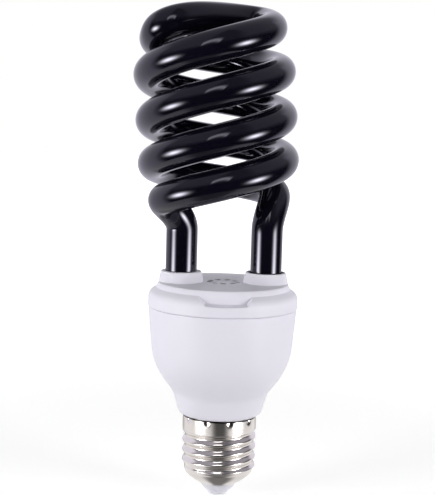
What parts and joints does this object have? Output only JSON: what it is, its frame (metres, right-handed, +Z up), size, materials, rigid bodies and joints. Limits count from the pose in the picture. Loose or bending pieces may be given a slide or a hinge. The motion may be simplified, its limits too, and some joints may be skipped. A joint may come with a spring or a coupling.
{
  "type": "spiral black light lamp",
  "caption": "Compact fluorescent black light lamp: dark spiral glass tube on a white ballast housing with a screw base.",
  "frame": {"origin": "lowest point of the centre contact, on the axis of the screw base", "axes": "+Z up along the screw base's axis towards the coil, +X to the right leg, -Y to the front notch"},
  "size_m": [0.0597, 0.0566, 0.1738],
  "materials": {
    "black_glass": "glossy, opaque, near black",
    "white_plastic": "satin, fine moulded",
    "nickel_shell": "bright nickel plate",
    "pale_insulator": "satin",
    "tinned_contact": "tinned",
    "cement": "rough",
    "board": "printed board",
    "black_sleeve": "shrink sleeve",
    "ferrite": "matte",
    "bobbin": "moulded",
    "copper_wire": "enamelled",
    "black_mould": "moulded",
    "red_film": "dipped",
    "resistor_body": "lacquered",
    "tinned_wire": "tinned",
    "red_lead": "insulated",
    "black_lead": "insulated"
  },
  "bodies": {
    "root": {"glass_tube": "black_glass", "tube_cover": "white_plastic", "ballast_housing": "white_plastic", "screw_shell": "nickel_shell", "base_insulator": "pale_insulator", "centre_contact": "tinned_contact", "left_tube_cement": "cement", "right_tube_cement": "cement", "circuit_board": "board", "bulk_capacitor": "black_sleeve", "choke_core": "ferrite", "choke_bobbin": "bobbin", "choke_winding": "copper_wire", "drive_ring": "ferrite", "power_transistor_1": "black_mould", "power_transistor_2": "black_mould", "resonant_capacitor": "red_film", "coupling_capacitor": "red_film", "filter_choke_core": "ferrite", "filter_choke_winding": "copper_wire", "fuse_resistor": "resistor_body", "live_lead": "red_lead", "neutral_lead": "black_lead", "drive_winding_1": "copper_wire", "drive_winding_2": "copper_wire", "drive_winding_3": "copper_wire", "rectifier_diode_1": "black_mould", "rectifier_diode_2": "black_mould", "rectifier_diode_3": "black_mould", "rectifier_diode_4": "black_mould", "base_resistor_1": "resistor_body", "base_resistor_2": "resistor_body", "filament_pin_1": "tinned_wire", "filament_pin_2": "tinned_wire", "filament_pin_3": "tinned_wire", "filament_pin_4": "tinned_wire", "filament_lead_1": "tinned_wire", "filament_lead_2": "tinned_wire", "filament_lead_3": "tinned_wire", "filament_lead_4": "tinned_wire"}
  },
  "joints": []
}
